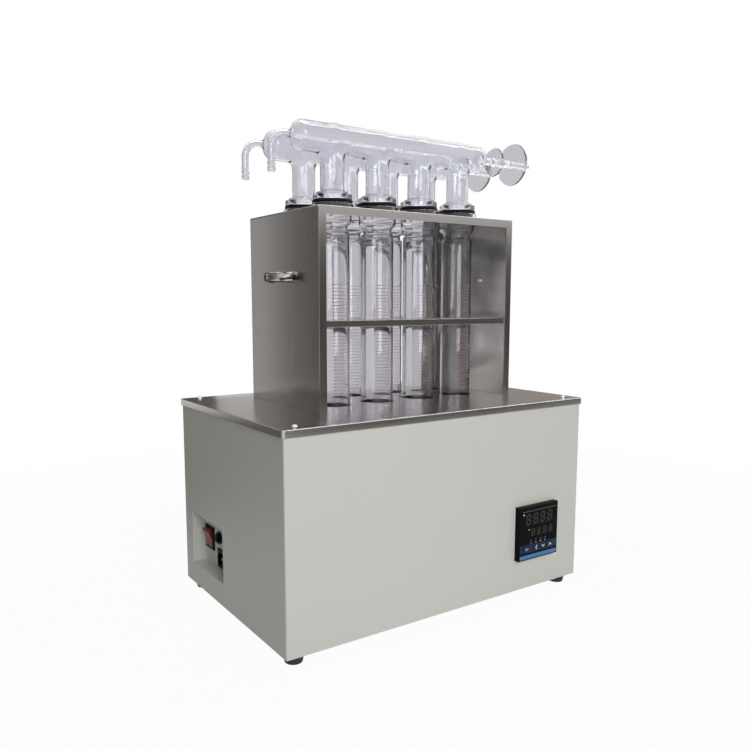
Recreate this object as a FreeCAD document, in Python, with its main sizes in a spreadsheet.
import FreeCAD, Part
import math
import os
import Sketcher

# Block digester with eight places: a sheet steel casing holds an aluminium heating block under a
# screwed stainless cover, and a lift-off stainless rack carries eight glass tubes with two glass
# fume manifolds on top. Lengths are millimetres. X runs to the right, Y to the back and Z up. The
# origin is the middle of the whole machine's outline on the bench.

doc = FreeCAD.newDocument("block_digester")

# Driving sizes: name, value and what it measures.
SIZES = [
    ("foot_height", 12, "rubber foot, floor to casing"),
    ("foot_top_radius", 12.5, "foot where it meets the casing"),
    ("foot_bottom_radius", 10, "foot on the floor"),
    ("foot_inset", 18, "casing wall to the middle of a foot"),
    ("foot_recess_radius", 4.2, "counterbore in the foot for its screw head"),
    ("foot_recess_depth", 7, "depth of that counterbore"),
    ("small_screw_radius", 2, "shank of every small screw"),
    ("small_screw_head_radius", 3.5, "head of every small screw"),
    ("small_screw_head_height", 2.6, "domed head height"),
    ("small_screw_length", 8, "shank length under the head"),
    ("nut_reach", 2, "foot screw beyond the base plate"),
    ("screw_clearance", 0.2, "radial room round a screw shank"),
    ("cover_margin_left", 142, "first column of tubes to the cover's left edge"),
    ("cover_margin_right", 115.5, "last column of tubes to the cover's right edge"),
    ("cover_margin_front", 133, "front row of tubes to the cover's front edge"),
    ("cover_margin_back", 95, "back row of tubes to the cover's back edge"),
    ("cover_skirt", 8.5, "height of the cover's folded skirt"),
    ("cover_sheet", 1.5, "cover sheet thickness"),
    ("cover_corner_radius", 3, "upright corners of the cover"),
    ("cover_edge_radius", 1.2, "fold radius along the cover's top edge"),
    ("cover_fit", 0.5, "gap between skirt and casing"),
    ("cover_screw_inset_x", 22, "cover edge to screw, sideways"),
    ("cover_screw_inset_y", 15, "cover edge to screw, front to back"),
    ("body_height", 250, "casing underside to cover top"),
    ("casing_sheet", 1.5, "painted steel sheet"),
    ("casing_corner_radius", 2, "folded upright corners of the casing"),
    ("casing_ledge", 36, "width of the turned-in bottom flange"),
    ("tab_size", 34, "square corner tab under the cover that takes its screw"),
    ("base_margin", 14, "casing wall to the edge of the base plate"),
    ("base_sheet", 1.5, "base plate thickness"),
    ("base_screw_margin", 24, "casing wall to the base screws"),
    ("vent_width", 5, "width of a vent slot"),
    ("vent_length", 60, "length of a vent slot"),
    ("vent_pitch", 14, "slot to slot"),
    ("vent_count", 8, "slots in a row"),
    ("vent_row_shift", 12, "how far a row of slots sits inside a quarter of the depth"),
    ("column_count", 4, "columns of tubes"),
    ("column_pitch", 67.5, "column to column"),
    ("row_count", 2, "rows of tubes"),
    ("row_pitch", 72, "row to row"),
    ("tube_radius", 21, "digestion tube, outside"),
    ("tube_wall", 1.6, "glass wall of a tube"),
    ("tube_length", 319, "tube from rim to bottom"),
    ("tube_neck_step", 2.2, "narrow neck inside the body's radius"),
    ("tube_neck_length", 5.8, "straight length of the neck"),
    ("tube_shoulder_height", 2.5, "shoulder between body and neck"),
    ("tube_mouth_step", 3, "cup shaped mouth beyond the body's radius"),
    ("tube_mouth_flare", 4.5, "height of the flare between neck and cup"),
    ("tube_mouth_below", 12, "cup below the top plate's underside"),
    ("tube_lip_step", 2.4, "thick rim beyond the cup's radius"),
    ("tube_lip_height", 10, "thick rim that rests on the top plate"),
    ("cover_hole_clearance", 1.5, "radial room round a tube in the cover"),
    ("bore_clearance", 0.7, "radial room round a tube in its bore"),
    ("bottom_clearance", 0.3, "tube bottom over the floor of its bore"),
    ("block_gap", 6, "cover underside to the block's top"),
    ("block_margin", 16, "metal outside the outer bores"),
    ("heater_plate_height", 34, "plate under the bored block that holds the rods"),
    ("heater_count", 4, "heating rods"),
    ("heater_radius", 5, "heating rod"),
    ("heater_fit", 0.15, "radial room round a heating rod"),
    ("heater_overhang", 12, "rod end that stands out of the block"),
    ("heater_cap_radius", 6, "ceramic cap on the rod end"),
    ("probe_radius", 2, "temperature probe"),
    ("probe_height_share", 0.8, "height of the probe as a share of the heater plate's"),
    ("probe_depth", 70, "probe length inside the block"),
    ("probe_tail", 30, "probe length outside the block"),
    ("insulation_thickness", 18, "fibre jacket wall and floor"),
    ("insulation_gap", 0.3, "room between the jacket and the block"),
    ("pillar_radius", 6, "pillar under the jacket"),
    ("rack_margin_left", 52, "first column of tubes to the rack's left face"),
    ("rack_margin_right", 52.5, "last column of tubes to the rack's right face"),
    ("rack_margin_rows", 55, "outer rows of tubes to the rack's front and back"),
    ("rack_height", 241, "cover to the rack's top"),
    ("rack_sheet", 1.5, "rack sheet thickness"),
    ("rack_flange", 10, "width of the folded front and back flanges"),
    ("mitre_gap", 0.2, "gap along a mitred corner"),
    ("shelf_height", 108.5, "cover to the shelf's top"),
    ("shelf_flange", 8, "height of the shelf's folded edge"),
    ("shelf_gap", 0.3, "shelf edge to the flanges in front of it"),
    ("shelf_hole_clearance", 1.2, "radial room round a tube in the shelf"),
    ("plate_hole_clearance", 0.3, "radial room round a tube mouth in the top plate"),
    ("collar_inset", 1.4, "silicone collar inside the tube's thick rim"),
    ("collar_height", 4, "collar, tube's rim to manifold flange"),
    ("collar_spigot_depth", 5, "part of the collar that stands in the tube's mouth"),
    ("collar_spigot_wall", 7, "wall of the collar inside the mouth"),
    ("collar_fit", 0.4, "radial room between collar and tube mouth"),
    ("handle_spacing", 61, "handle screw to handle screw"),
    ("handle_rise", 18, "panel to the middle of the grip"),
    ("handle_thickness", 6, "grip, thin way"),
    ("handle_breadth", 12, "grip, tall way"),
    ("handle_height", 161, "cover to the handle's middle"),
    ("handle_foot_radius", 6.5, "round foot of the handle"),
    ("handle_foot_height", 3, "thickness of that foot"),
    ("handle_thread_depth", 5, "screw hole in the handle's foot"),
    ("header_radius", 18.5, "manifold header tube, outside"),
    ("header_axis_rise", 73, "collar top to the header's axis"),
    ("header_corner_radius", 13, "rounded ends of the header"),
    ("header_left_reach", 55, "first stem to the header's left end"),
    ("header_right_reach", 44, "last stem to the header's right end"),
    ("glass_wall", 2, "glass wall of header and stems"),
    ("stem_radius", 15, "stem from header to flange"),
    ("stem_fillet", 5, "blown fillet where a stem meets the header"),
    ("flange_inset", 0.7, "lower step of the glass flange inside the collar's edge"),
    ("flange_step_inset", 4.2, "upper step of the flange inside the lower"),
    ("flange_height", 7, "lower step"),
    ("flange_step_height", 2.5, "upper step"),
    ("hook_radius", 4.3, "hose hook tube, outside"),
    ("hook_wall", 1.3, "hose hook glass wall"),
    ("hook_run", 9, "straight start of the hook"),
    ("hook_bend_radius", 19, "bend of the hook"),
    ("hook_drop", 15, "straight drop between the bend and the barb"),
    ("barb_radius", 5.1, "hose barb bead"),
    ("barb_length", 6, "length of one barb bead"),
    ("barb_count", 2, "beads on the hose barb"),
    ("neck_radius", 5, "glass rod between the discs"),
    ("small_disc_radius", 19.8, "first disc"),
    ("small_disc_reach", 24, "header end to the first disc"),
    ("large_disc_radius", 29.5, "second disc"),
    ("large_disc_reach", 36, "first disc to the second"),
    ("disc_thickness", 3.2, "glass disc thickness"),
    ("tip_reach", 34, "second disc to the sealed tip"),
    ("tip_radius", 4, "sealed tip"),
    ("recess_back_margin", 28, "cover's back edge to the side recess"),
    ("recess_length", 102, "side recess opening, front to back"),
    ("recess_height", 70, "side recess opening, height"),
    ("recess_rise", 29, "casing underside to the recess opening"),
    ("recess_depth", 18, "depth of the recess"),
    ("recess_lip", 9, "flange of the recess tray behind the wall"),
    ("switch_width", 28, "switch bezel, front to back"),
    ("switch_height", 31, "switch bezel, height"),
    ("switch_margin", 4.5, "recess's back side to the switch bezel"),
    ("switch_floor_gap", 20.5, "recess floor to the switch bezel"),
    ("bezel_step", 2, "bezel edge beyond its cut-out"),
    ("bezel_proud", 2, "bezel thickness on the panel"),
    ("switch_body_depth", 24, "switch body behind the panel"),
    ("rocker_gap", 0.4, "room round the rocker"),
    ("rocker_rim", 3, "width of the switch bezel's rim"),
    ("rocker_tilt", 12, "degrees the rocker leans each way"),
    ("rocker_crest", 3, "pivot to the middle of the rocker's face"),
    ("rocker_dish", 2.3, "rise of the face from its middle to its ends"),
    ("rocker_end_margin", 4.7, "rocker face's end to the bezel's upper or lower edge"),
    ("rocker_back_depth", 2, "pivot to the rocker's flat back"),
    ("rocker_well_depth", 5.4, "well behind the panel"),
    ("rocker_pin_radius", 1.2, "rocker pivot pin"),
    ("rocker_pin_reach", 1, "pin length in each side wall"),
    ("pivot_fit", 0.05, "radial running fit of a pivot"),
    ("fuse_gap", 9, "switch bezel to the fuse holder's rim"),
    ("fuse_inlet_gap", 6, "power inlet's upper edge to the fuse holder's rim"),
    ("fuse_wall", 0.65, "wall of the fuse holder's barrel"),
    ("fuse_rim_width", 2.2, "fuse holder's rim beyond its barrel"),
    ("fuse_cap_radius", 5.6, "fuse cap"),
    ("fuse_cap_proud", 4, "fuse cap beyond the rim"),
    ("fuse_cap_depth", 12, "fuse cap behind the panel"),
    ("fuse_depth", 34, "fuse holder behind the panel"),
    ("fuse_slot_width", 1.4, "screwdriver slot in the cap"),
    ("fuse_slot_depth", 1.6, "depth of that slot"),
    ("inlet_side_width", 3.3, "power inlet bezel beside its socket"),
    ("inlet_rim_width", 4.2, "power inlet bezel above and below its socket"),
    ("inlet_gap", 12, "switch bezel to the power inlet's bezel"),
    ("inlet_margin", 3.5, "recess floor to the power inlet's bezel"),
    ("socket_width", 24.4, "inlet socket, front to back"),
    ("socket_height", 16.6, "inlet socket, height"),
    ("socket_depth", 16, "inlet socket depth"),
    ("socket_chamfer", 5, "cut corners of the socket"),
    ("inlet_body_depth", 22, "inlet body behind the panel"),
    ("blade_thickness", 2, "inlet contact blade, thin way"),
    ("blade_breadth", 4, "inlet contact blade, tall way"),
    ("blade_spacing", 14, "outer blade to outer blade"),
    ("blade_offset", 4, "middle blade above the outer ones"),
    ("blade_setback", 3, "blade end behind the inlet's face"),
    ("blade_tail", 8, "blade length behind the inlet"),
    ("blade_fit", 0.1, "room round a piece that is set into another"),
    ("meter_size", 72, "temperature controller bezel, square"),
    ("meter_proud", 8, "controller bezel beyond the casing"),
    ("meter_step", 2.25, "controller bezel beyond its body behind the panel"),
    ("meter_body_depth", 64, "depth of that body"),
    ("meter_margin", 49, "cover's right edge to the controller"),
    ("meter_rise", 42, "casing underside to the controller"),
    ("meter_cutout_gap", 0.3, "room round the body in its cut-out"),
    ("clamp_width", 8, "mounting frame behind the panel"),
    ("clamp_thickness", 4, "thickness of that frame"),
    ("foil_margin", 1.5, "bezel edge to the front foil at the sides and below"),
    ("foil_top_margin", 5, "bezel edge to the front foil above"),
    ("window_gap", 1.5, "keys to the display window"),
    ("window_margin", 2, "foil edge to the display window"),
    ("foil_depth", 1.2, "depth of the foil's seat"),
    ("key_width", 11, "controller key"),
    ("key_height", 8, "controller key"),
    ("first_key_margin", 7.8, "bezel's left edge to the first key"),
    ("first_key_gap", 6.9, "first key to the second"),
    ("key_spacing", 2.2, "gap between the other keys"),
    ("key_rise", 9.5, "foil's bottom edge to the keys"),
    ("key_gap", 0.3, "room round a key"),
    ("key_proud", 0.9, "key beyond the foil"),
    ("key_depth", 4, "key length behind the foil's face"),
    ("key_travel", 0.6, "how far a key goes in"),
    ("relay_width", 58, "solid state relay"),
    ("relay_depth", 45, "solid state relay"),
    ("relay_height", 23, "solid state relay"),
    ("sink_height", 40, "finned heat sink under the relay"),
    ("sink_fin", 2, "fin thickness"),
    ("sink_base", 6, "heat sink base thickness"),
    ("sink_fin_count", 7, "fins on the heat sink"),
    ("relay_front_margin", 40, "casing's front to the heat sink"),
    ("relay_left_margin", 18, "casing's left wall to the heat sink"),
    ("terminal_gap", 15, "heat sink to the terminal strip"),
    ("terminal_width", 52, "terminal strip"),
    ("terminal_depth", 20, "terminal strip"),
    ("terminal_height", 16, "terminal strip"),
    ("terminal_count", 5, "screws on the terminal strip"),
    ("terminal_screw_radius", 3, "terminal screw well"),
    ("terminal_well_depth", 5, "depth of a screw well"),
    ("overrun", 1, "how far a cut runs past what it cuts"),
]

sheet = doc.addObject("Spreadsheet::Sheet", "sizes")
for row, (name, value, note) in enumerate(SIZES, start=1):
    sheet.set(f"A{row}", name)
    sheet.set(f"B{row}", str(value))
    sheet.setAlias(f"B{row}", name)
    sheet.set(f"C{row}", note)
doc.recompute()


class Size:
    """A number that remembers the sheet formula it comes from."""

    def __init__(self, number, formula):
        self.number = float(number)
        self.formula = formula

    def __add__(self, other):
        other = as_size(other)
        if other.formula == "0":
            return self
        if self.formula == "0":
            return other
        return Size(self.number + other.number, f"({self.formula} + {other.formula})")

    def __radd__(self, other):
        return as_size(other) + self

    def __neg__(self):
        return Size(-self.number, f"(-{self.formula})")

    def __sub__(self, other):
        other = as_size(other)
        if other.formula == "0":
            return self
        return Size(self.number - other.number, f"({self.formula} - {other.formula})")

    def __rsub__(self, other):
        return as_size(other) - self

    def __mul__(self, other):
        other = as_size(other)
        return Size(self.number * other.number, f"({self.formula} * {other.formula})")

    def __rmul__(self, other):
        return as_size(other) * self

    def __truediv__(self, other):
        other = as_size(other)
        return Size(self.number / other.number, f"({self.formula} / {other.formula})")


def as_size(value):
    """Turns a plain number into a Size and leaves a Size as it is."""
    return value if isinstance(value, Size) else Size(value, str(value))


class Cells:
    """Every cell of the sheet as a named Size."""

    def __init__(self, table):
        for name, _, _ in table:
            setattr(self, name, Size(sheet.get(name), f"sizes.{name}"))


c = Cells(SIZES)
parts = []


# Helpers for the document's objects.
def bind(item, prop, value):
    item.setExpression(prop, as_size(value).formula)


def vector(x, y, z):
    return FreeCAD.Vector(as_size(x).number, as_size(y).number, as_size(z).number)


def origin_of(body, role):
    return next(f for f in body.Origin.OriginFeatures if f.Role == role)


def new_body(label):
    body = doc.addObject("PartDesign::Body", label)
    body.Label = label
    parts.append(body)
    return body


def place(item, x, y, z):
    """Moves a finished piece to its place in the machine's frame."""
    bind(item, "Placement.Base.x", x)
    bind(item, "Placement.Base.y", y)
    bind(item, "Placement.Base.z", z)


def new_sketch(body, name, role="XY_Plane", height=0):
    """A sketch on one of the body's own planes, moved along that plane's normal."""
    sketch = body.newObject("Sketcher::SketchObject", f"{body.Name}_{name}")
    sketch.AttachmentSupport = [(origin_of(body, role), "")]
    sketch.MapMode = "FlatFace"
    bind(sketch, "AttachmentOffset.Base.z", height)
    return sketch


def pin(sketch, piece, end, x, y):
    """Ties a point of the sketch to the origin by two bound distances."""
    for kind, axis, value in (("DistanceX", -2, as_size(x)), ("DistanceY", -1, as_size(y))):
        if value.formula == "0":
            sketch.addConstraint(Sketcher.Constraint("PointOnObject", piece, end, axis))
        else:
            index = sketch.addConstraint(Sketcher.Constraint(kind, -1, 1, piece, end, value.number))
            sketch.setExpression(f"Constraints[{index}]", value.formula)


def outline(sketch, corners):
    """Draws a closed outline. A corner is (x, y), or (x, y, centre_x, centre_y, turn) where an
    arc ends, turning 1 to the left or -1 to the right."""
    points = [vector(corner[0], corner[1], 0) for corner in corners]
    heads = []
    tails = []
    for index, corner in enumerate(corners):
        start = points[index - 1]
        end = points[index]
        if len(corner) == 2:
            piece = sketch.addGeometry(Part.LineSegment(start, end))
            tails.append((piece, 1))
            heads.append((piece, 2))
            continue
        centre = vector(corner[2], corner[3], 0)
        turn = corner[4]
        first, last = (start, end) if turn > 0 else (end, start)
        angles = [math.atan2(p.y - centre.y, p.x - centre.x) for p in (first, last)]
        circle = Part.Circle(centre, FreeCAD.Vector(0, 0, 1), (end - centre).Length)
        piece = sketch.addGeometry(Part.ArcOfCircle(circle, *angles))
        tails.append((piece, 1 if turn > 0 else 2))
        heads.append((piece, 2 if turn > 0 else 1))
        upright = abs(end.y - start.y) > abs(end.x - start.x)
        kind, value = ("DistanceX", corner[2]) if upright else ("DistanceY", corner[3])
        if as_size(value).formula == "0":
            axis = -2 if upright else -1
            sketch.addConstraint(Sketcher.Constraint("PointOnObject", piece, 3, axis))
        else:
            number = as_size(value).number
            place_of = sketch.addConstraint(Sketcher.Constraint(kind, -1, 1, piece, 3, number))
            sketch.setExpression(f"Constraints[{place_of}]", as_size(value).formula)
    for index, corner in enumerate(corners):
        sketch.addConstraint(Sketcher.Constraint("Coincident", *heads[index - 1], *tails[index]))
        pin(sketch, *heads[index], corner[0], corner[1])


def rectangle(sketch, left, bottom, right, top):
    outline(sketch, [(left, bottom), (right, bottom), (right, top), (left, top)])


def circle(sketch, x, y, radius):
    number = as_size(radius).number
    piece = sketch.addGeometry(Part.Circle(vector(x, y, 0), FreeCAD.Vector(0, 0, 1), number))
    pin(sketch, piece, 3, x, y)
    index = sketch.addConstraint(Sketcher.Constraint("Radius", piece, number))
    sketch.setExpression(f"Constraints[{index}]", as_size(radius).formula)


def extrude(kind, body, sketch, length, reverse=False, middle=False):
    feature = body.newObject(f"PartDesign::{kind}", f"{sketch.Name}_{kind.lower()}")
    feature.Profile = sketch
    bind(feature, "Length", length)
    feature.Reversed = reverse
    if middle:
        feature.SideType = "Symmetric"
    return feature


def pad(body, sketch, length, reverse=False, middle=False):
    return extrude("Pad", body, sketch, length, reverse, middle)


def pocket(body, sketch, length, reverse=False, middle=False):
    """Cuts a pocket and makes sure that it took metal away."""
    doc.recompute()
    before = body.Shape.Volume
    feature = extrude("Pocket", body, sketch, length, reverse, middle)
    doc.recompute()
    if before - body.Shape.Volume < c.blade_fit.number:
        raise RuntimeError(f"{feature.Name} cuts nothing")
    return feature


def revolve(body, sketch, axis, kind="Revolution"):
    """Turns a sketch a full round about one of the body's own axes."""
    feature = body.newObject(f"PartDesign::{kind}", f"{sketch.Name}_{kind.lower()}")
    feature.Profile = sketch
    feature.ReferenceAxis = (origin_of(body, axis), [""])
    feature.Angle = 360
    return feature


def pattern(body, feature, axis, spacing, count):
    """Repeats a feature in a row along one of the body's own axes."""
    row = body.newObject("PartDesign::LinearPattern", f"{feature.Name}_pattern")
    row.Originals = [feature]
    row.Direction = (origin_of(body, axis), [""])
    row.Mode = "Spacing"
    bind(row, "Offset", spacing)
    bind(row, "Occurrences", count)
    body.Tip = row
    return row


def edges_where(shape, test):
    """Names of the edges whose end points and middle all pass a test."""
    names = []
    for index, edge in enumerate(shape.Edges, start=1):
        if edge.Degenerated:
            continue
        middle = edge.valueAt((edge.FirstParameter + edge.LastParameter) / 2)
        if all(test(point) for point in [v.Point for v in edge.Vertexes] + [middle]):
            names.append(f"Edge{index}")
    return names


def soften(body, kind, size, test):
    """Rounds or bevels the edges of the body that pass a test."""
    doc.recompute()
    base = body.Tip
    feature = body.newObject(f"PartDesign::{kind}", f"{base.Name}_{kind.lower()}")
    feature.Base = (base, edges_where(base.Shape, test))
    bind(feature, "Radius" if kind == "Fillet" else "Size", size)
    return feature


def near(a, b):
    """Whether two places coincide, to a thousandth of the casing's sheet."""
    return abs(a - as_size(b).number) < c.casing_sheet.number / 1000


def box(label, width, depth, height):
    item = doc.addObject("Part::Box", label)
    bind(item, "Length", width)
    bind(item, "Width", depth)
    bind(item, "Height", height)
    return item


def cylinder(label, radius, height):
    item = doc.addObject("Part::Cylinder", label)
    bind(item, "Radius", radius)
    bind(item, "Height", height)
    return item


def group(label, items):
    """Joins separate solids that lie apart into one named piece."""
    item = doc.addObject("Part::Compound", label)
    item.Label = label
    item.Links = items
    parts.append(item)
    return item


def turned_screw(label, length):
    """A domed screw whose head sits on the plane z = 0 and whose shank points down."""
    body = doc.addObject("PartDesign::Body", label)
    sketch = new_sketch(body, "profile", "XZ_Plane")
    head = c.small_screw_head_height
    outline(sketch, [
        (0, -length),
        (c.small_screw_radius, -length),
        (c.small_screw_radius, 0),
        (c.small_screw_head_radius, 0),
        (c.small_screw_head_radius, head / 3),
        (c.small_screw_radius, head),
        (0, head),
    ])
    revolve(body, sketch, "Z_Axis")
    return body


def screws(label, length, places, turn=None):
    """One named piece of like screws. Each place is (x, y, z) for the seat of the head."""
    master = turned_screw(f"{label}_master", length)
    items = []
    for index, (x, y, z) in enumerate(places):
        link = doc.addObject("App::Link", f"{label}_{index}")
        link.LinkedObject = master
        if turn:
            link.Placement.Rotation = turn[index] if isinstance(turn, list) else turn
        place(link, x, y, z)
        items.append(link)
    return group(label, items)


# Places that several pieces share, in the machine's frame.
grid_width = (c.column_count - 1) * c.column_pitch
grid_depth = (c.row_count - 1) * c.row_pitch
cover_width = c.cover_margin_left + grid_width + c.cover_margin_right
cover_depth = c.cover_margin_front + grid_depth + c.cover_margin_back
header_left = c.cover_margin_left - c.header_left_reach
header_right = c.cover_margin_left + grid_width + c.header_right_reach
small_disc_place = header_right + c.small_disc_reach
large_disc_place = small_disc_place + c.large_disc_reach
reach = large_disc_place + c.tip_reach
left_edge = -reach / 2
overhang = c.cover_sheet + c.cover_fit
key_reach = c.meter_proud + c.key_proud - overhang
front_edge = (key_reach - cover_depth) / 2
casing_width = cover_width - 2 * overhang
casing_depth = cover_depth - 2 * overhang
casing_left = left_edge + overhang
casing_front = front_edge + overhang
casing_top = c.foot_height + c.body_height - c.cover_sheet
casing_height = c.body_height - c.cover_sheet
cover_top = c.foot_height + c.body_height
first_column = left_edge + c.cover_margin_left
first_row = front_edge + c.cover_margin_front
rack_left = first_column - c.rack_margin_left
rack_front = first_row - c.rack_margin_rows
rack_width = c.rack_margin_left + grid_width + c.rack_margin_right
rack_depth = grid_depth + 2 * c.rack_margin_rows
rack_top = cover_top + c.rack_height
plate_under = rack_top - c.rack_sheet
rim_height = rack_top + c.tube_lip_height
tube_bottom = rim_height - c.tube_length
collar_top = rim_height + c.collar_height
screw_hole = c.small_screw_radius + c.screw_clearance


# Feet.
def foot(label, x, y):
    """A rubber cone with a counterbore for its screw, open at the floor."""
    body = new_body(label)
    sketch = new_sketch(body, "profile", "XZ_Plane")
    outline(sketch, [
        (c.foot_recess_radius, 0),
        (c.foot_bottom_radius, 0),
        (c.foot_top_radius, c.foot_height),
        (screw_hole, c.foot_height),
        (screw_hole, c.foot_recess_depth),
        (c.foot_recess_radius, c.foot_recess_depth),
    ])
    revolve(body, sketch, "Z_Axis")
    place(body, x, y, 0)
    return body


foot_x = {"left": casing_left + c.foot_inset, "right": casing_left + casing_width - c.foot_inset}
foot_y = {"front": casing_front + c.foot_inset, "back": casing_front + casing_depth - c.foot_inset}
foot_places = []
for row_name, y in foot_y.items():
    for side, x in foot_x.items():
        foot(f"{row_name}_{side}_foot", x, y)
        foot_places.append((x, y, c.foot_recess_depth))
upside_down = FreeCAD.Rotation(FreeCAD.Vector(1, 0, 0), 180)
foot_screw_length = c.foot_height - c.foot_recess_depth + c.casing_sheet + c.base_sheet + c.nut_reach
screws("foot_screws", foot_screw_length, foot_places, upside_down)

# Casing: one folded sheet with turned-in flanges below and corner tabs above.
meter_half = c.meter_size / 2
meter_body_half = meter_half - c.meter_step
half_cutout = meter_body_half + c.meter_cutout_gap
meter_middle_x = cover_width - c.meter_margin - meter_half - overhang
meter_middle_z = c.meter_rise + meter_half
recess_from = cover_depth - c.recess_back_margin - c.recess_length - overhang
base_screw_x = [c.base_screw_margin, casing_width / 2, casing_width - c.base_screw_margin]
base_screw_y = [c.base_screw_margin + c.foot_inset, casing_depth - c.base_screw_margin - c.foot_inset]
cover_screw_x = [c.cover_screw_inset_x - overhang, casing_width - c.cover_screw_inset_x + overhang]
cover_screw_y = [c.cover_screw_inset_y - overhang, casing_depth - c.cover_screw_inset_y + overhang]

casing = new_body("casing")
blank = new_sketch(casing, "blank")
rectangle(blank, 0, 0, casing_width, casing_depth)
pad(casing, blank, casing_height)
soften(casing, "Fillet", c.casing_corner_radius, lambda p: (
    (near(p.x, 0) or near(p.x, casing_width)) and (near(p.y, 0) or near(p.y, casing_depth))))
inside = new_sketch(casing, "inside", height=c.casing_sheet)
rectangle(inside, c.casing_sheet, c.casing_sheet, casing_width - c.casing_sheet,
          casing_depth - c.casing_sheet)
pocket(casing, inside, casing_height - 2 * c.casing_sheet, reverse=True)
opening = new_sketch(casing, "opening")
rectangle(opening, c.casing_ledge, c.casing_ledge, casing_width - c.casing_ledge,
          casing_depth - c.casing_ledge)
pocket(casing, opening, c.casing_sheet, reverse=True)
mouth = new_sketch(casing, "mouth", height=casing_height)
tab_right = casing_width - c.tab_size
tab_back = casing_depth - c.tab_size
inner_right = casing_width - c.casing_sheet
inner_back = casing_depth - c.casing_sheet
outline(mouth, [
    (c.tab_size, c.casing_sheet), (tab_right, c.casing_sheet),
    (tab_right, c.tab_size), (inner_right, c.tab_size),
    (inner_right, tab_back), (tab_right, tab_back),
    (tab_right, inner_back), (c.tab_size, inner_back),
    (c.tab_size, tab_back), (c.casing_sheet, tab_back),
    (c.casing_sheet, c.tab_size), (c.tab_size, c.tab_size),
])
pocket(casing, mouth, c.casing_sheet)
tab_holes = new_sketch(casing, "tab_holes", height=casing_height)
for x in cover_screw_x:
    for y in cover_screw_y:
        circle(tab_holes, x, y, screw_hole)
pocket(casing, tab_holes, c.casing_sheet)
flange_holes = new_sketch(casing, "flange_holes")
for x in (c.foot_inset, casing_width - c.foot_inset):
    for y in (c.foot_inset, casing_depth - c.foot_inset):
        circle(flange_holes, x, y, screw_hole)
for x in base_screw_x:
    for y in base_screw_y:
        circle(flange_holes, x, y, screw_hole)
pocket(casing, flange_holes, c.casing_sheet, reverse=True)
meter_hole = new_sketch(casing, "meter_hole", "XZ_Plane")
rectangle(meter_hole, meter_middle_x - half_cutout, meter_middle_z - half_cutout,
          meter_middle_x + half_cutout, meter_middle_z + half_cutout)
pocket(casing, meter_hole, c.casing_sheet)
recess_hole = new_sketch(casing, "recess_hole", "YZ_Plane")
rectangle(recess_hole, recess_from, c.recess_rise, recess_from + c.recess_length,
          c.recess_rise + c.recess_height)
pocket(casing, recess_hole, c.casing_sheet, reverse=True)
place(casing, casing_left, casing_front, c.foot_height)

# Base plate on the casing's flanges, with two rows of vent slots.
base = new_body("base_plate")
plate = new_sketch(base, "plate")
rectangle(plate, c.base_margin, c.base_margin, casing_width - c.base_margin, casing_depth - c.base_margin)
pad(base, plate, c.base_sheet)
base_holes = new_sketch(base, "holes")
for x in (c.foot_inset, casing_width - c.foot_inset):
    for y in (c.foot_inset, casing_depth - c.foot_inset):
        circle(base_holes, x, y, screw_hole)
for x in base_screw_x:
    for y in base_screw_y:
        circle(base_holes, x, y, screw_hole)
pocket(base, base_holes, c.base_sheet, reverse=True)
vent_radius = c.vent_width / 2
vent_left = (casing_width - (c.vent_count - 1) * c.vent_pitch) / 2
slots = new_sketch(base, "vent_slots")
for vent_middle in (casing_depth / 4 + c.vent_row_shift, casing_depth * 3 / 4 - c.vent_row_shift):
    vent_low = vent_middle - c.vent_length / 2
    vent_high = vent_middle + c.vent_length / 2
    outline(slots, [
        (vent_left + vent_radius, vent_low, vent_left, vent_low, 1),
        (vent_left + vent_radius, vent_high),
        (vent_left - vent_radius, vent_high, vent_left, vent_high, 1),
        (vent_left - vent_radius, vent_low),
    ])
first_slots = pocket(base, slots, c.base_sheet, reverse=True)
pattern(base, first_slots, "X_Axis", c.vent_pitch, c.vent_count)
base_top = c.foot_height + c.casing_sheet + c.base_sheet
place(base, casing_left, casing_front, c.foot_height + c.casing_sheet)
base_screw_places = [(casing_left + x, casing_front + y, c.foot_height)
                     for x in base_screw_x for y in base_screw_y]
screws("base_screws", c.small_screw_length, base_screw_places, upside_down)

# Side recess: a tray behind the left wall that carries the switch, the fuse and the inlet.
recess_inner_depth = c.recess_depth - c.casing_sheet
inlet_width = c.socket_width + 2 * c.inlet_side_width
inlet_height = c.socket_height + 2 * c.inlet_rim_width
fuse_radius = c.fuse_cap_radius + c.pivot_fit + c.fuse_wall
fuse_rim_radius = fuse_radius + c.fuse_rim_width
bezel_front = c.recess_length - c.switch_margin - c.switch_width
switch_y = bezel_front + c.switch_width / 2
fuse_y = bezel_front - c.fuse_gap - fuse_rim_radius
inlet_y = bezel_front - c.inlet_gap - inlet_width / 2
switch_rise = c.switch_floor_gap + c.switch_height / 2
inlet_rise = c.inlet_margin + inlet_height / 2
fuse_rise = c.inlet_margin + inlet_height + c.fuse_inlet_gap + fuse_rim_radius
recess = new_body("switch_recess")
lip = new_sketch(recess, "lip", "YZ_Plane")
rectangle(lip, -c.recess_lip, -c.recess_lip, c.recess_length + c.recess_lip, c.recess_height + c.recess_lip)
pad(recess, lip, c.casing_sheet)
tray = new_sketch(recess, "tray", "YZ_Plane")
rectangle(tray, -c.casing_sheet, -c.casing_sheet, c.recess_length + c.casing_sheet,
          c.recess_height + c.casing_sheet)
pad(recess, tray, recess_inner_depth + c.casing_sheet)
hollow = new_sketch(recess, "hollow", "YZ_Plane")
rectangle(hollow, 0, 0, c.recess_length, c.recess_height)
pocket(recess, hollow, recess_inner_depth, reverse=True)
cutouts = new_sketch(recess, "cutouts", "YZ_Plane")
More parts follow.
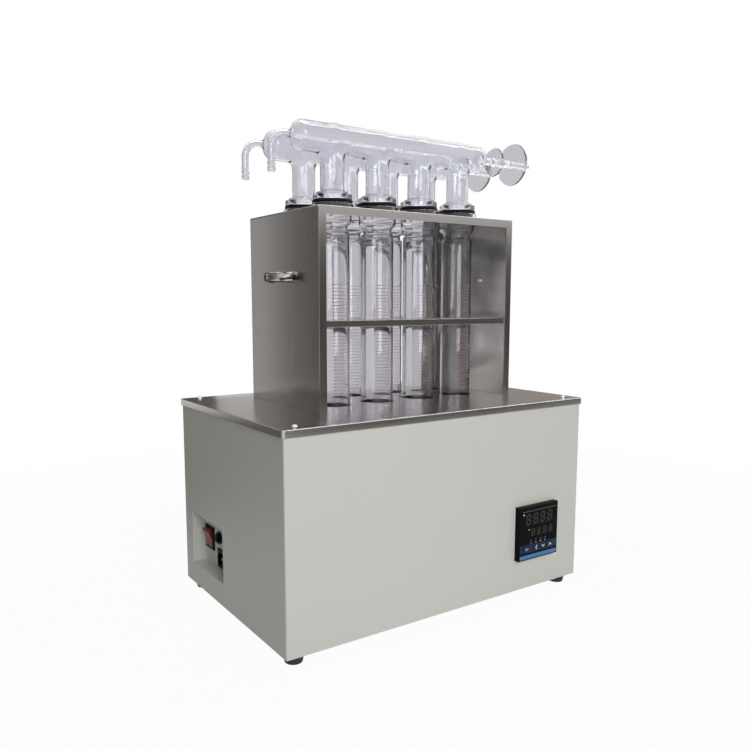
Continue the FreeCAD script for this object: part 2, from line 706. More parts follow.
for middle_y, middle_z, wide, tall in (
        (switch_y, switch_rise, c.switch_width, c.switch_height),
        (inlet_y, inlet_rise, inlet_width, inlet_height)):
    half_wide = wide / 2 - c.bezel_step
    half_tall = tall / 2 - c.bezel_step
    rectangle(cutouts, middle_y - half_wide, middle_z - half_tall, middle_y + half_wide, middle_z + half_tall)
circle(cutouts, fuse_y, fuse_rise, fuse_radius + c.meter_cutout_gap)
pocket(recess, cutouts, recess_inner_depth + c.casing_sheet + c.overrun, reverse=True)
recess_x = casing_left + c.casing_sheet
recess_y = casing_front + recess_from
recess_z = c.foot_height + c.recess_rise
place(recess, recess_x, recess_y, recess_z)
panel_x = recess_x + recess_inner_depth

# Switch: a bezel with a body behind the panel, and a rocker on a cross pin.
rocker_end = c.rocker_crest + c.rocker_dish


def root(value):
    return Size(math.sqrt(value.number), f"sqrt({value.formula})")


rocker_half = c.switch_height / 2 - c.rocker_end_margin
rocker_radius = root(rocker_end * rocker_end + rocker_half * rocker_half)
rocker_back_half = root(rocker_radius * rocker_radius - c.rocker_back_depth * c.rocker_back_depth)
well_half = rocker_radius + c.rocker_gap
well_wide_half = c.switch_width / 2 - c.rocker_rim
switch = new_body("switch_frame")
bezel = new_sketch(switch, "bezel", "YZ_Plane")
rectangle(bezel, -c.switch_width / 2, -c.switch_height / 2, c.switch_width / 2, c.switch_height / 2)
pad(switch, bezel, c.bezel_proud, reverse=True)
soften(switch, "Fillet", c.bezel_proud / 3, lambda p: near(p.x, -c.bezel_proud))
shell = new_sketch(switch, "shell", "YZ_Plane")
shell_half_wide = c.switch_width / 2 - c.bezel_step - c.blade_fit
shell_half_tall = c.switch_height / 2 - c.bezel_step - c.blade_fit
rectangle(shell, -shell_half_wide, -shell_half_tall, shell_half_wide, shell_half_tall)
pad(switch, shell, c.switch_body_depth)
well = new_sketch(switch, "well", "YZ_Plane", -c.bezel_proud)
rectangle(well, -well_wide_half, -well_half, well_wide_half, well_half)
pocket(switch, well, c.bezel_proud + c.rocker_well_depth, reverse=True)
pin_hole = new_sketch(switch, "pin_hole", "XZ_Plane")
circle(pin_hole, 0, 0, c.rocker_pin_radius + c.pivot_fit)
pocket(switch, pin_hole, 2 * (well_wide_half + c.rocker_pin_reach), middle=True)
switch_place = (panel_x, recess_y + switch_y, recess_z + switch_rise)
place(switch, *switch_place)

rocker = new_body("switch_rocker")
face = new_sketch(rocker, "profile", "XZ_Plane")
outline(face, [
    (-c.rocker_crest, 0),
    (-rocker_end, rocker_half),
    (c.rocker_back_depth, rocker_back_half, 0, 0, -1),
    (c.rocker_back_depth, -rocker_back_half),
    (-rocker_end, -rocker_half, 0, 0, -1),
])
pad(rocker, face, 2 * (well_wide_half - c.rocker_gap), middle=True)
trunnion = new_sketch(rocker, "pin", "XZ_Plane")
circle(trunnion, 0, 0, c.rocker_pin_radius)
pad(rocker, trunnion, 2 * (well_wide_half + c.rocker_pin_reach - c.rocker_gap), middle=True)
rocker.Placement.Rotation = FreeCAD.Rotation(FreeCAD.Vector(0, -1, 0), 1)
bind(rocker, "Placement.Rotation.Angle", c.rocker_tilt)
place(rocker, *switch_place)

# Fuse holder with a quarter turn cap.
holder = new_body("fuse_holder")
barrel = new_sketch(holder, "profile", "XZ_Plane")
cap_bore = c.fuse_cap_radius + c.pivot_fit
outline(barrel, [
    (-c.bezel_proud, cap_bore),
    (-c.bezel_proud, fuse_rim_radius),
    (0, fuse_rim_radius),
    (0, fuse_radius),
    (c.fuse_depth, fuse_radius),
    (c.fuse_depth, 0),
    (c.fuse_cap_depth + c.bottom_clearance, 0),
    (c.fuse_cap_depth + c.bottom_clearance, cap_bore),
])
revolve(holder, barrel, "X_Axis")
fuse_place = (panel_x, recess_y + fuse_y, recess_z + fuse_rise)
place(holder, *fuse_place)
cap = new_body("fuse_cap")
plug = new_sketch(cap, "profile", "XZ_Plane")
cap_face = c.bezel_proud + c.fuse_cap_proud
cap_bevel = c.fuse_cap_proud / 4
outline(plug, [
    (-cap_face, 0),
    (-cap_face, c.fuse_cap_radius - cap_bevel),
    (-cap_face + cap_bevel, c.fuse_cap_radius),
    (c.fuse_cap_depth, c.fuse_cap_radius),
    (c.fuse_cap_depth, 0),
])
revolve(cap, plug, "X_Axis")
driver_slot = new_sketch(cap, "slot", "YZ_Plane", -cap_face)
rectangle(driver_slot, -c.fuse_cap_radius, -c.fuse_slot_width / 2, c.fuse_cap_radius, c.fuse_slot_width / 2)
pocket(cap, driver_slot, c.fuse_slot_depth, reverse=True)
place(cap, *fuse_place)

# Power inlet: a bezel, a shrouded socket and three blades.
inlet = new_body("power_inlet")
frame = new_sketch(inlet, "bezel", "YZ_Plane")
rectangle(frame, -inlet_width / 2, -inlet_height / 2, inlet_width / 2, inlet_height / 2)
pad(inlet, frame, c.bezel_proud, reverse=True)
soften(inlet, "Fillet", c.bezel_proud / 3, lambda p: near(p.x, -c.bezel_proud))
core = new_sketch(inlet, "core", "YZ_Plane")
core_half_wide = inlet_width / 2 - c.bezel_step - c.blade_fit
core_half_tall = inlet_height / 2 - c.bezel_step - c.blade_fit
rectangle(core, -core_half_wide, -core_half_tall, core_half_wide, core_half_tall)
pad(inlet, core, c.inlet_body_depth)
socket = new_sketch(inlet, "socket", "YZ_Plane", -c.bezel_proud)
socket_half = c.socket_width / 2
socket_top = c.socket_height / 2
socket_cut = socket_half - c.socket_chamfer
socket_drop = socket_top - c.socket_chamfer
outline(socket, [
    (-socket_half, -socket_top),
    (socket_half, -socket_top),
    (socket_half, socket_drop),
    (socket_cut, socket_top),
    (-socket_cut, socket_top),
    (-socket_half, socket_drop),
])
pocket(inlet, socket, c.socket_depth, reverse=True)
blade_places = [
    (-c.blade_spacing / 2, -c.blade_offset / 2),
    (as_size(0), c.blade_offset / 2),
    (c.blade_spacing / 2, -c.blade_offset / 2),
]
seats = new_sketch(inlet, "blade_seats", "YZ_Plane", c.inlet_body_depth)
for y, z in blade_places:
    half_thick = c.blade_thickness / 2 + c.blade_fit
    half_broad = c.blade_breadth / 2 + c.blade_fit
    rectangle(seats, y - half_thick, z - half_broad, y + half_thick, z + half_broad)
pocket(inlet, seats, c.inlet_body_depth)
inlet_place = (panel_x, recess_y + inlet_y, recess_z + inlet_rise)
place(inlet, *inlet_place)
blades = []
socket_floor = c.socket_depth - c.bezel_proud
blade_reach = c.socket_depth - c.blade_setback
blade_length = blade_reach + c.inlet_body_depth - socket_floor + c.blade_tail
for index, (y, z) in enumerate(blade_places):
    blade = box(f"inlet_blade_{index}", blade_length, c.blade_thickness, c.blade_breadth)
    place(blade, panel_x + socket_floor - blade_reach, inlet_place[1] + y - c.blade_thickness / 2,
          inlet_place[2] + z - c.blade_breadth / 2)
    blades.append(blade)
group("inlet_blades", blades)

# Stainless top cover with its eight openings.
cover = new_body("top_cover")
cover_blank = new_sketch(cover, "blank")
rectangle(cover_blank, 0, 0, cover_width, cover_depth)
pad(cover, cover_blank, c.cover_skirt)
soften(cover, "Fillet", c.cover_corner_radius, lambda p: (
    (near(p.x, 0) or near(p.x, cover_width)) and (near(p.y, 0) or near(p.y, cover_depth))))
soften(cover, "Fillet", c.cover_edge_radius, lambda p: near(p.z, c.cover_skirt))
cover_hollow = new_sketch(cover, "hollow")
rectangle(cover_hollow, c.cover_sheet, c.cover_sheet, cover_width - c.cover_sheet,
          cover_depth - c.cover_sheet)
pocket(cover, cover_hollow, c.cover_skirt - c.cover_sheet, reverse=True)


def tube_places(origin_x, origin_y):
    """Middles of the eight places, measured from a piece's own corner."""
    return [(origin_x + column * c.column_pitch, origin_y + row * c.row_pitch)
            for row in range(int(c.row_count.number)) for column in range(int(c.column_count.number))]


cover_holes = new_sketch(cover, "holes")
for x, y in tube_places(c.cover_margin_left, c.cover_margin_front):
    circle(cover_holes, x, y, c.tube_radius + c.cover_hole_clearance)
for x in cover_screw_x:
    for y in cover_screw_y:
        circle(cover_holes, x + overhang, y + overhang, screw_hole)
pocket(cover, cover_holes, c.cover_skirt + c.overrun, reverse=True)
place(cover, left_edge, front_edge, cover_top - c.cover_skirt)
cover_screw_places = [(casing_left + x, casing_front + y, cover_top)
                      for x in cover_screw_x for y in cover_screw_y]
screws("cover_screws", c.small_screw_length, cover_screw_places)

# Heating block, bored right through, on the plate with the heating rods, both in a fibre jacket.
bore_radius = c.tube_radius + c.bore_clearance
block_edge = bore_radius + c.block_margin
block_width = grid_width + 2 * block_edge
block_depth = grid_depth + 2 * block_edge
block_top = cover_top - c.cover_sheet - c.block_gap
bore_floor = tube_bottom - c.bottom_clearance
bore_depth = block_top - bore_floor
plate_bottom = bore_floor - c.heater_plate_height
heated_height = block_top - plate_bottom
block_x = first_column - block_edge
block_y = first_row - block_edge
block = new_body("heating_block")
billet = new_sketch(block, "billet")
rectangle(billet, 0, 0, block_width, block_depth)
pad(block, billet, bore_depth)
bores = new_sketch(block, "bores", height=bore_depth)
for x, y in tube_places(block_edge, block_edge):
    circle(bores, x, y, bore_radius)
pocket(block, bores, bore_depth)
place(block, block_x, block_y, bore_floor)

heater = new_body("heater_plate")
slab = new_sketch(heater, "slab")
rectangle(slab, 0, 0, block_width, block_depth)
pad(heater, slab, c.heater_plate_height)
rod_step = block_depth / c.heater_count
rod_places = [rod_step / 2 + index * rod_step for index in range(int(c.heater_count.number))]
rod_height = c.heater_plate_height / 2
rod_holes = new_sketch(heater, "rod_holes", "YZ_Plane")
for y in rod_places:
    circle(rod_holes, y, rod_height, c.heater_radius + c.heater_fit)
pocket(heater, rod_holes, block_width, reverse=True)
probe_height = c.heater_plate_height * c.probe_height_share
probe_hole = new_sketch(heater, "probe_hole", "XZ_Plane")
circle(probe_hole, block_width / 2, probe_height, c.probe_radius + c.heater_fit)
pocket(heater, probe_hole, c.probe_depth + c.bottom_clearance)
place(heater, block_x, block_y, plate_bottom)

jacket_margin = c.insulation_thickness + c.insulation_gap
jacket_width = block_width + 2 * jacket_margin
jacket_depth = block_depth + 2 * jacket_margin
jacket_bottom = plate_bottom - c.insulation_thickness
jacket = new_body("block_insulation")
felt = new_sketch(jacket, "felt")
rectangle(felt, 0, 0, jacket_width, jacket_depth)
pad(jacket, felt, heated_height + c.insulation_thickness)
nest = new_sketch(jacket, "nest", height=heated_height + c.insulation_thickness)
rectangle(nest, c.insulation_thickness, c.insulation_thickness, jacket_width - c.insulation_thickness,
          jacket_depth - c.insulation_thickness)
pocket(jacket, nest, heated_height)
rod_ways = new_sketch(jacket, "rod_ways", "YZ_Plane")
for y in rod_places:
    circle(rod_ways, y + jacket_margin, rod_height + c.insulation_thickness,
           c.heater_cap_radius + c.heater_fit)
pocket(jacket, rod_ways, jacket_width, reverse=True)
probe_way = new_sketch(jacket, "probe_way", "XZ_Plane")
circle(probe_way, jacket_width / 2, probe_height + c.insulation_thickness, c.probe_radius + c.heater_fit)
pocket(jacket, probe_way, c.insulation_thickness)
jacket_x = block_x - jacket_margin
jacket_y = block_y - jacket_margin
place(jacket, jacket_x, jacket_y, jacket_bottom)

rods = []
rod_length = block_width + 2 * c.heater_overhang
for index, y in enumerate(rod_places):
    rod = doc.addObject("PartDesign::Body", f"heater_rod_{index}")
    rod_profile = new_sketch(rod, "profile", "XZ_Plane")
    cap_length = c.heater_overhang - c.insulation_gap
    outline(rod_profile, [
        (0, 0),
        (0, c.heater_cap_radius),
        (cap_length, c.heater_cap_radius),
        (cap_length, c.heater_radius),
        (rod_length - cap_length, c.heater_radius),
        (rod_length - cap_length, c.heater_cap_radius),
        (rod_length, c.heater_cap_radius),
        (rod_length, 0),
    ])
    revolve(rod, rod_profile, "X_Axis")
    place(rod, block_x - c.heater_overhang, block_y + y, plate_bottom + rod_height)
    rods.append(rod)
group("heater_rods", rods)

probe = new_body("temperature_probe")
probe_profile = new_sketch(probe, "profile", "XZ_Plane")
outline(probe_profile, [
    (0, 0),
    (c.probe_radius, c.probe_radius, 0, c.probe_radius, 1),
    (c.probe_radius, c.probe_depth + jacket_margin),
    (2 * c.probe_radius, c.probe_depth + jacket_margin),
    (2 * c.probe_radius, c.probe_depth + jacket_margin + c.probe_tail),
    (0, c.probe_depth + jacket_margin + c.probe_tail),
])
revolve(probe, probe_profile, "Z_Axis")
probe.Placement.Rotation = FreeCAD.Rotation(FreeCAD.Vector(1, 0, 0), 90)
place(probe, block_x + block_width / 2, block_y + c.probe_depth, plate_bottom + probe_height)

pillars = []
for x in (first_column, first_column + grid_width):
    for y in (first_row, first_row + grid_depth):
        pillar = cylinder(f"pillar_{len(pillars)}", c.pillar_radius, jacket_bottom - base_top)
        place(pillar, x, y, base_top)
        pillars.append(pillar)
group("block_pillars", pillars)

# Solid state relay on its finned heat sink, and the terminal strip.
relay_x = casing_left + c.relay_left_margin
relay_y = casing_front + c.relay_front_margin
sink = new_body("relay_heat_sink")
sink_plate = new_sketch(sink, "plate", height=c.sink_height - c.sink_base)
rectangle(sink_plate, 0, 0, c.relay_width, c.relay_depth)
pad(sink, sink_plate, c.sink_base)
fin = new_sketch(sink, "fin")
rectangle(fin, 0, 0, c.sink_fin, c.relay_depth)
first_fin = pad(sink, fin, c.sink_height)
fin_step = (c.relay_width - c.sink_fin) / (c.sink_fin_count - 1)
pattern(sink, first_fin, "X_Axis", fin_step, c.sink_fin_count)
place(sink, relay_x, relay_y, base_top)
relay = new_body("power_relay")
relay_block = new_sketch(relay, "block")
rectangle(relay_block, 0, 0, c.relay_width, c.relay_depth)
pad(relay, relay_block, c.relay_height)
relay_wells = new_sketch(relay, "wells", height=c.relay_height)
well_inset = 2 * c.terminal_screw_radius
for x in (well_inset, c.relay_width - well_inset):
    for y in (well_inset, c.relay_depth - well_inset):
        circle(relay_wells, x, y, c.terminal_screw_radius)
pocket(relay, relay_wells, c.terminal_well_depth)
place(relay, relay_x, relay_y, base_top + c.sink_height)
strip = new_body("terminal_strip")
strip_block = new_sketch(strip, "block")
rectangle(strip_block, 0, 0, c.terminal_width, c.terminal_depth)
pad(strip, strip_block, c.terminal_height)
strip_well = new_sketch(strip, "well", height=c.terminal_height)
strip_step = c.terminal_width / c.terminal_count
circle(strip_well, strip_step / 2, c.terminal_depth / 2, c.terminal_screw_radius)
first_well = pocket(strip, strip_well, c.terminal_well_depth)
pattern(strip, first_well, "X_Axis", strip_step, c.terminal_count)
place(strip, relay_x, relay_y + c.relay_depth + c.terminal_gap, base_top)

# Temperature controller: case, clamp, front foil, display window and four keys.
meter_face = -c.meter_proud
meter_x = casing_left + meter_middle_x
meter_z = c.foot_height + meter_middle_z
foil_half = meter_half - c.foil_margin
foil_low = -foil_half
foil_high = meter_half - c.foil_top_margin
key_z = foil_low + c.key_rise + c.key_height / 2
second_key = c.first_key_margin + c.key_width + c.first_key_gap
key_lefts = [c.first_key_margin] + [second_key + index * (c.key_width + c.key_spacing) for index in range(3)]
key_places = [left + c.key_width / 2 - meter_half for left in key_lefts]
case = new_body("controller_case")
front = new_sketch(case, "front", "XZ_Plane")
rectangle(front, -meter_half, -meter_half, meter_half, meter_half)
pad(case, front, c.meter_proud)
soften(case, "Fillet", c.foil_margin / 2, lambda p: near(p.y, meter_face))
can = new_sketch(case, "can", "XZ_Plane")
rectangle(can, -meter_body_half, -meter_body_half, meter_body_half, meter_body_half)
pad(case, can, c.meter_body_depth, reverse=True)
foil_seat = new_sketch(case, "foil_seat", "XZ_Plane", c.meter_proud)
seat_half = foil_half + c.blade_fit
rectangle(foil_seat, -seat_half, -seat_half, seat_half, foil_high + c.blade_fit)
pocket(case, foil_seat, c.foil_depth)
wells = new_sketch(case, "key_wells", "XZ_Plane", c.meter_proud)
key_half = c.key_width / 2 + c.key_gap
key_tall = c.key_height / 2 + c.key_gap
for x in key_places:
    rectangle(wells, x - key_half, key_z - key_tall, x + key_half, key_z + key_tall)
pocket(case, wells, c.foil_depth + c.key_depth)
place(case, meter_x, casing_front, meter_z)

foil = new_body("controller_facia")
foil_sheet = new_sketch(foil, "sheet", "XZ_Plane")
rectangle(foil_sheet, -foil_half, foil_low, foil_half, foil_high)
pad(foil, foil_sheet, c.foil_depth, reverse=True)
foil_holes = new_sketch(foil, "key_holes", "XZ_Plane")
for x in key_places:
    rectangle(foil_holes, x - key_half, key_z - key_tall, x + key_half, key_z + key_tall)
window_low = key_z + key_tall + c.window_gap
window_half = foil_half - c.window_margin
window_high = foil_high - c.window_margin
rectangle(foil_holes, -window_half, window_low, window_half, window_high)
pocket(foil, foil_holes, c.foil_depth)
place(foil, meter_x, casing_front + meter_face, meter_z)
window = new_body("display_window")
pane = new_sketch(window, "pane", "XZ_Plane")
rectangle(pane, -window_half + c.blade_fit, window_low + c.blade_fit, window_half - c.blade_fit,
          window_high - c.blade_fit)
pad(window, pane, c.foil_depth, reverse=True)
place(window, meter_x, casing_front + meter_face, meter_z)

for label, x in zip(("set_key", "shift_key", "down_key", "up_key"), key_places):
    key = new_body(label)
    key_cap = new_sketch(key, "cap", "XZ_Plane")
    rectangle(key_cap, -c.key_width / 2, -c.key_height / 2, c.key_width / 2, c.key_height / 2)
    key_length = c.key_proud + c.foil_depth + c.key_depth - c.key_travel - c.key_gap
    pad(key, key_cap, key_length, reverse=True)
    soften(key, "Fillet", c.key_proud / 2, lambda p: near(p.y, 0))
    place(key, meter_x + x, casing_front + meter_face - c.key_proud, meter_z + key_z)

clamp = new_body("controller_clamp")
clamp_ring = new_sketch(clamp, "ring", "XZ_Plane")
clamp_half = meter_body_half + c.clamp_width
rectangle(clamp_ring, -clamp_half, -clamp_half, clamp_half, clamp_half)
clamp_inner = meter_body_half + c.blade_fit
rectangle(clamp_ring, -clamp_inner, -clamp_inner, clamp_inner, clamp_inner)
pad(clamp, clamp_ring, c.clamp_thickness, reverse=True)
place(clamp, meter_x, casing_front + c.casing_sheet, meter_z)

# Rack: two side panels with folded flanges, a top plate, a shelf and two bow handles.
panel_height = c.rack_height - c.rack_sheet
handle_low = rack_depth / 2 - c.handle_spacing / 2
handle_high = handle_low + c.handle_spacing


def rack_panel(label, side):
    """A side panel whose outer face is the plane x = 0. The side is 1 on the left, -1 on the right."""
    body = new_body(label)
    profile = new_sketch(body, "profile")
    web = side * c.rack_sheet
    flange = side * c.rack_flange
    outline(profile, [
        (0, 0), (flange, 0), (flange, c.rack_sheet), (web, c.rack_sheet),
        (web, rack_depth - c.rack_sheet), (flange, rack_depth - c.rack_sheet),
        (flange, rack_depth), (0, rack_depth),
    ])
    pad(body, profile, panel_height)
    mitre = new_sketch(body, "mitre", "XZ_Plane", c.overrun)
    beyond = side * (c.rack_flange + c.overrun)
    outline(mitre, [
        (0, c.rack_height - c.mitre_gap),
        (0, c.rack_height),
        (beyond, c.rack_height),
        (beyond, c.rack_height - c.mitre_gap - c.rack_flange - c.overrun),
    ])
    pocket(body, mitre, rack_depth + 2 * c.overrun)
    holes = new_sketch(body, "handle_holes", "YZ_Plane")
    circle(holes, handle_low, c.handle_height, screw_hole)
    circle(holes, handle_high, c.handle_height, screw_hole)
    pocket(body, holes, c.rack_sheet, reverse=side > 0)
    return body


place(rack_panel("rack_left_panel", 1), rack_left, rack_front, cover_top)
place(rack_panel("rack_right_panel", -1), rack_left + rack_width, rack_front, cover_top)

top = new_body("rack_top_plate")
deck = new_sketch(top, "deck", height=-c.rack_sheet)
rectangle(deck, 0, 0, rack_width, rack_depth)
pad(top, deck, c.rack_sheet)
for name, offset in (("front_lip", as_size(0)), ("back_lip", c.rack_sheet - rack_depth)):
    lip_sketch = new_sketch(top, name, "XZ_Plane", offset)
    outline(lip_sketch, [
        (0, 0), (rack_width, 0),
        (rack_width - c.rack_flange, -c.rack_flange), (c.rack_flange, -c.rack_flange),
    ])
    pad(top, lip_sketch, c.rack_sheet, reverse=True)
mouth_radius = c.tube_radius + c.tube_mouth_step
deck_holes = new_sketch(top, "holes")
for x, y in tube_places(c.rack_margin_left, c.rack_margin_rows):
    circle(deck_holes, x, y, mouth_radius + c.plate_hole_clearance)
pocket(top, deck_holes, c.rack_sheet)
place(top, rack_left, rack_front, rack_top)

shelf = new_body("rack_shelf")
shelf_from = c.rack_sheet + c.shelf_gap
shelf_plate = new_sketch(shelf, "plate", height=-c.rack_sheet)
rectangle(shelf_plate, c.rack_sheet, shelf_from, rack_width - c.rack_sheet, rack_depth - shelf_from)
pad(shelf, shelf_plate, c.rack_sheet)
shelf_lips = new_sketch(shelf, "lips", height=-c.shelf_flange)
for low in (shelf_from, rack_depth - shelf_from - c.rack_sheet):
    rectangle(shelf_lips, c.rack_sheet, low, rack_width - c.rack_sheet, low + c.rack_sheet)
pad(shelf, shelf_lips, c.shelf_flange)
shelf_holes = new_sketch(shelf, "holes")
for x, y in tube_places(c.rack_margin_left, c.rack_margin_rows):
    circle(shelf_holes, x, y, c.tube_radius + c.shelf_hole_clearance)
pocket(shelf, shelf_holes, c.rack_sheet)
place(shelf, rack_left, rack_front, cover_top + c.shelf_height)

half_span = c.handle_spacing / 2
bow_radius = (half_span * half_span + c.handle_rise * c.handle_rise) / (2 * c.handle_rise)
bow_depth = bow_radius - c.handle_rise
bow_angle = Size(2 * math.degrees(math.asin(half_span.number / bow_radius.number)),
                 f"(2 * asin({half_span.formula} / {bow_radius.formula}))")


def bow_handle(label, side):
    """A bow turned about an upright axis. The side is -1 where it bows to the left, 1 to the right."""
    body = new_body(label)
    section = new_sketch(body, "section", "XZ_Plane")
    half_thick = c.handle_thickness / 2
    straight = c.handle_breadth / 2 - half_thick
    inner = side * (bow_radius - half_thick)
    outer = side * (bow_radius + half_thick)
    middle = side * bow_radius
    outline(section, [
        (inner, -straight, middle, -straight, -side),
        (inner, straight),
        (outer, straight, middle, straight, -side),
        (outer, -straight),
    ])
    bow = revolve(body, section, "Z_Axis")
    bow.Midplane = True
    bind(bow, "Angle", bow_angle)
    feet = new_sketch(body, "feet", "YZ_Plane", side * bow_depth)
    circle(feet, -half_span, 0, c.handle_foot_radius)
    circle(feet, half_span, 0, c.handle_foot_radius)
    pad(body, feet, c.handle_foot_height, reverse=side < 0)
    trim = new_sketch(body, "trim", "YZ_Plane", side * bow_depth)
    reach_y = half_span + c.handle_breadth
    rectangle(trim, -reach_y, -c.handle_breadth, reach_y, c.handle_breadth)
    pocket(body, trim, c.handle_thickness, reverse=side < 0)
    thread = new_sketch(body, "thread", "YZ_Plane", side * bow_depth)
    circle(thread, -half_span, 0, screw_hole)
    circle(thread, half_span, 0, screw_hole)
    pocket(body, thread, c.handle_thread_depth, reverse=side > 0)
    return body


handle_y = rack_front + rack_depth / 2
handle_z = cover_top + c.handle_height
place(bow_handle("left_handle", -1), rack_left + bow_depth, handle_y, handle_z)
place(bow_handle("right_handle", 1), rack_left + rack_width - bow_depth, handle_y, handle_z)
head_right = FreeCAD.Rotation(FreeCAD.Vector(0, 1, 0), 90)
head_left = FreeCAD.Rotation(FreeCAD.Vector(0, 1, 0), -90)
handle_screw_places = []
handle_screw_turns = []
for x, turn in ((rack_left + c.rack_sheet, head_right),
                (rack_left + rack_width - c.rack_sheet, head_left)):
    for y in (handle_low, handle_high):
        handle_screw_places.append((x, rack_front + y, handle_z))
        handle_screw_turns.append(turn)
screws("handle_screws", c.rack_sheet + c.handle_thread_depth - c.bottom_clearance,
       handle_screw_places, handle_screw_turns)

# Digestion tubes with their silicone collars.
cup_low = plate_under - c.tube_mouth_below - tube_bottom
neck_high = cup_low - c.tube_mouth_flare
neck_low = neck_high - c.tube_neck_length
shoulder = neck_low - c.tube_shoulder_height
neck_radius = c.tube_radius - c.tube_neck_step
shoulder_round = c.tube_neck_step * 0.9
tube_inner = c.tube_radius - c.tube_wall
neck_inner = neck_radius - c.tube_wall
mouth_inner = mouth_radius - c.tube_wall
lip_radius = mouth_radius + c.tube_lip_step
lip_low = c.tube_length - c.tube_lip_height
lip_round = c.tube_lip_step / 2


def digestion_tube(label, x, y):
    """A round-bottomed glass tube with a narrow neck and a cup shaped mouth with a thick rim."""
    body = new_body(label)
    profile = new_sketch(body, "profile", "XZ_Plane")
    outline(profile, [
        (0, 0),
        (c.tube_radius, c.tube_radius, 0, c.tube_radius, 1),
        (c.tube_radius, shoulder),
        (c.tube_radius - shoulder_round, shoulder + shoulder_round,
         c.tube_radius - shoulder_round, shoulder, 1),
        (neck_radius, neck_low),
        (neck_radius, neck_high),
        (mouth_radius, cup_low),
        (mouth_radius, lip_low),
        (lip_radius, lip_low),
        (lip_radius, c.tube_length - lip_round),
        (lip_radius - lip_round, c.tube_length, lip_radius - lip_round, c.tube_length - lip_round, 1),
        (mouth_inner, c.tube_length),
        (mouth_inner, cup_low + c.tube_wall / 2),
        (neck_inner, neck_high + c.tube_wall / 2),
        (neck_inner, neck_low - c.tube_wall / 2),
        (tube_inner, shoulder),
        (tube_inner, c.tube_radius),
        (0, c.tube_wall, 0, c.tube_radius, -1),
    ])
    revolve(body, profile, "Z_Axis")
    place(body, x, y, tube_bottom)


collar_radius = lip_radius - c.collar_inset
spigot_radius = mouth_inner - c.collar_fit
collar_hole_radius = spigot_radius - c.collar_spigot_wall


def collar(label, x, y):
    """A silicone ring on the tube's rim, with a spigot in the mouth. The manifold's flange rests on it."""
    body = new_body(label)
    profile = new_sketch(body, "profile", "XZ_Plane")
    outline(profile, [
        (collar_hole_radius, -c.collar_spigot_depth),
        (spigot_radius, -c.collar_spigot_depth),
        (spigot_radius, 0),
        (collar_radius, 0),
        (collar_radius, c.collar_height),
        (collar_hole_radius, c.collar_height),
    ])
    revolve(body, profile, "Z_Axis")
    place(body, x, y, rim_height)


for number, (x, y) in enumerate(tube_places(first_column, first_row), start=1):
    digestion_tube(f"digestion_tube_{number}", x, y)
    collar(f"tube_collar_{number}", x, y)

# Fume manifolds: a blown header with four stems, a hose hook and two discs on a rod.
header_length = header_right - header_left
inner_radius = c.header_radius - c.glass_wall
corner = c.header_corner_radius
inner_corner = corner - c.glass_wall
stem_drop = c.header_axis_rise
flange_radius = collar_radius - c.flange_inset
flange_step_radius = flange_radius - c.flange_step_inset
disc_half = c.disc_thickness / 2
disc_places = [(header_length + c.small_disc_reach, c.small_disc_radius),
               (header_length + c.small_disc_reach + c.large_disc_reach, c.large_disc_radius)]
tip_end = disc_places[1][0] + c.tip_reach


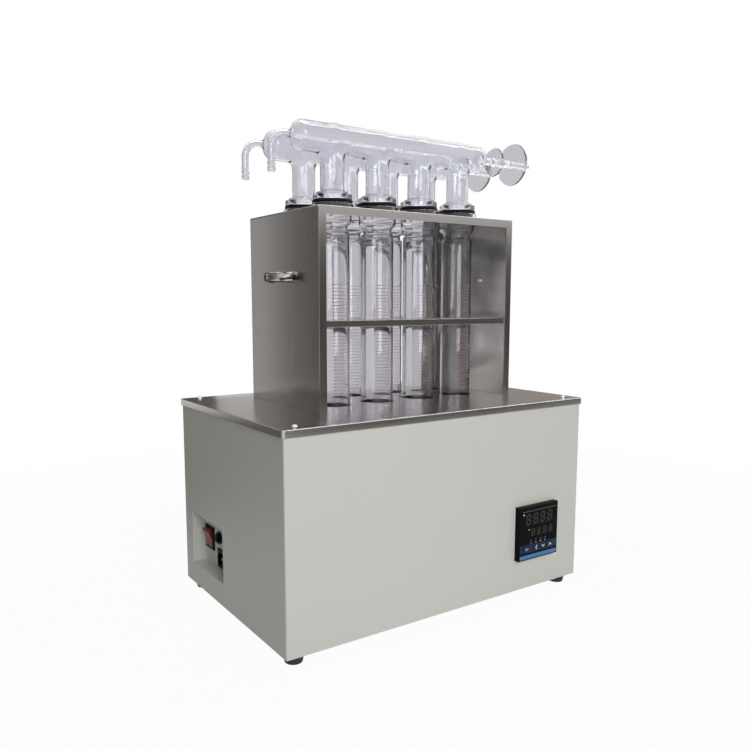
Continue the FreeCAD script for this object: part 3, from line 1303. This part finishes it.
def manifold(label, row):
    """One header along X whose left end on its axis is the origin."""
    body = new_body(label)
    outside = new_sketch(body, "outside", "XZ_Plane")
    steps = [
        (0, 0),
        (0, c.header_radius - corner),
        (corner, c.header_radius, corner, c.header_radius - corner, -1),
        (header_length - corner, c.header_radius),
        (header_length, c.header_radius - corner, header_length - corner, c.header_radius - corner, -1),
        (header_length, c.neck_radius),
    ]
    for disc_x, disc_radius in disc_places:
        steps += [
            (disc_x - disc_half, c.neck_radius),
            (disc_x - disc_half, disc_radius),
            (disc_x + disc_half, disc_radius),
            (disc_x + disc_half, c.neck_radius),
        ]
    steps[-1] = (disc_places[1][0] + disc_half, c.tip_radius)
    steps += [
        (tip_end - c.tip_radius, c.tip_radius),
        (tip_end, 0, tip_end - c.tip_radius, 0, -1),
    ]
    outline(outside, steps)
    revolve(body, outside, "X_Axis")
    stem = new_sketch(body, "stem", height=-stem_drop)
    circle(stem, c.header_left_reach, 0, c.stem_radius)
    stem_pad = pad(body, stem, stem_drop)
    step = new_sketch(body, "flange_step", height=-stem_drop)
    circle(step, c.header_left_reach, 0, flange_step_radius)
    step_pad = pad(body, step, c.flange_height + c.flange_step_height)
    flange = new_sketch(body, "flange", height=-stem_drop)
    circle(flange, c.header_left_reach, 0, flange_radius)
    flange_pad = pad(body, flange, c.flange_height)
    stems = pattern(body, stem_pad, "X_Axis", c.column_pitch, c.column_count)
    stems.Originals = [stem_pad, step_pad, flange_pad]
    spine = new_sketch(body, "hook_spine", "XZ_Plane")
    bend_x = -c.hook_run
    drop_x = bend_x - c.hook_bend_radius
    first = spine.addGeometry(Part.LineSegment(vector(0, 0, 0), vector(bend_x, 0, 0)))
    bend = spine.addGeometry(Part.ArcOfCircle(
        Part.Circle(vector(bend_x, -c.hook_bend_radius, 0), vector(0, 0, 1), c.hook_bend_radius.number),
        math.pi / 2, math.pi))
    hook_end = -c.hook_bend_radius - c.hook_drop - c.barb_count * c.barb_length
    last = spine.addGeometry(Part.LineSegment(
        vector(drop_x, -c.hook_bend_radius, 0), vector(drop_x, hook_end, 0)))
    pin(spine, first, 1, 0, 0)
    spine.addConstraint(Sketcher.Constraint("Coincident", first, 2, bend, 1))
    spine.addConstraint(Sketcher.Constraint("Coincident", bend, 2, last, 1))
    pin(spine, first, 2, bend_x, 0)
    pin(spine, bend, 3, bend_x, -c.hook_bend_radius)
    spine.addConstraint(Sketcher.Constraint("Horizontal", bend, 2, bend, 3))
    pin(spine, last, 2, drop_x, hook_end)
    ring = new_sketch(body, "hook_ring", "YZ_Plane")
    circle(ring, 0, 0, c.hook_radius)
    hook = body.newObject("PartDesign::AdditivePipe", f"{label}_hook")
    hook.Profile = ring
    hook.Spine = spine
    barb = new_sketch(body, "barb", "XZ_Plane")
    bind(barb, "AttachmentOffset.Base.x", drop_x)
    bead_rows = []
    for index in range(int(c.barb_count.number)):
        low = hook_end + index * c.barb_length
        bead_rows += [
            (c.hook_radius, low),
            (c.barb_radius, low + c.barb_length / 2),
        ]
    outline(barb, [(0, hook_end)] + bead_rows + [
        (c.hook_radius, hook_end + c.barb_count * c.barb_length),
        (0, hook_end + c.barb_count * c.barb_length),
    ])
    beads = body.newObject("PartDesign::Revolution", f"{label}_beads")
    beads.Profile = barb
    beads.ReferenceAxis = (barb, ["V_Axis"])
    beads.Angle = 360
    soften(body, "Fillet", c.stem_fillet, lambda p: on_saddle(p))
    inside = new_sketch(body, "inside", "XZ_Plane")
    far = header_length - c.glass_wall
    outline(inside, [
        (c.glass_wall, 0),
        (c.glass_wall, inner_radius - inner_corner),
        (corner, inner_radius, corner, inner_radius - inner_corner, -1),
        (header_length - corner, inner_radius),
        (far, inner_radius - inner_corner, header_length - corner, inner_radius - inner_corner, -1),
        (far, 0),
    ])
    revolve(body, inside, "X_Axis", "Groove")
    bore = new_sketch(body, "stem_bore", height=-stem_drop)
    circle(bore, c.header_left_reach, 0, c.stem_radius - c.glass_wall)
    stem_bore = pocket(body, bore, stem_drop, reverse=True)
    pattern(body, stem_bore, "X_Axis", c.column_pitch, c.column_count)
    hose_bore = new_sketch(body, "hook_bore", "YZ_Plane")
    circle(hose_bore, 0, 0, c.hook_radius - c.hook_wall)
    pocket(body, hose_bore, c.glass_wall + c.overrun, reverse=True)
    hose_ring = new_sketch(body, "hook_inside", "YZ_Plane")
    circle(hose_ring, 0, 0, c.hook_radius - c.hook_wall)
    hose = body.newObject("PartDesign::SubtractivePipe", f"{label}_hose_way")
    hose.Profile = hose_ring
    hose.Spine = spine
    place(body, left_edge + header_left, first_row + row * c.row_pitch, collar_top + c.header_axis_rise)


def on_saddle(point):
    """Whether a point lies where a stem runs into the header."""
    from_axis = math.hypot(point.y, point.z)
    if not near(from_axis, c.header_radius) or point.z > 0:
        return False
    along = (point.x - c.header_left_reach.number) / c.column_pitch.number
    offset = (along - round(along)) * c.column_pitch.number
    return near(math.hypot(offset, point.y), c.stem_radius)


manifold("front_manifold", 0)
manifold("rear_manifold", 1)

# Check every object and write each piece to its own file.
doc.recompute()
for item in doc.Objects:
    if "Invalid" in item.State or "Error" in item.State:
        raise RuntimeError(f"{item.Name} failed: {item.State}")
os.makedirs("parts", exist_ok=True)
for item in parts:
    shape = item.Shape
    if shape.isNull() or not shape.isValid():
        raise RuntimeError(f"{item.Label} has no valid shape")
    shape.exportStep(f"parts/{item.Label}.step")
print(len(parts), "pieces written")
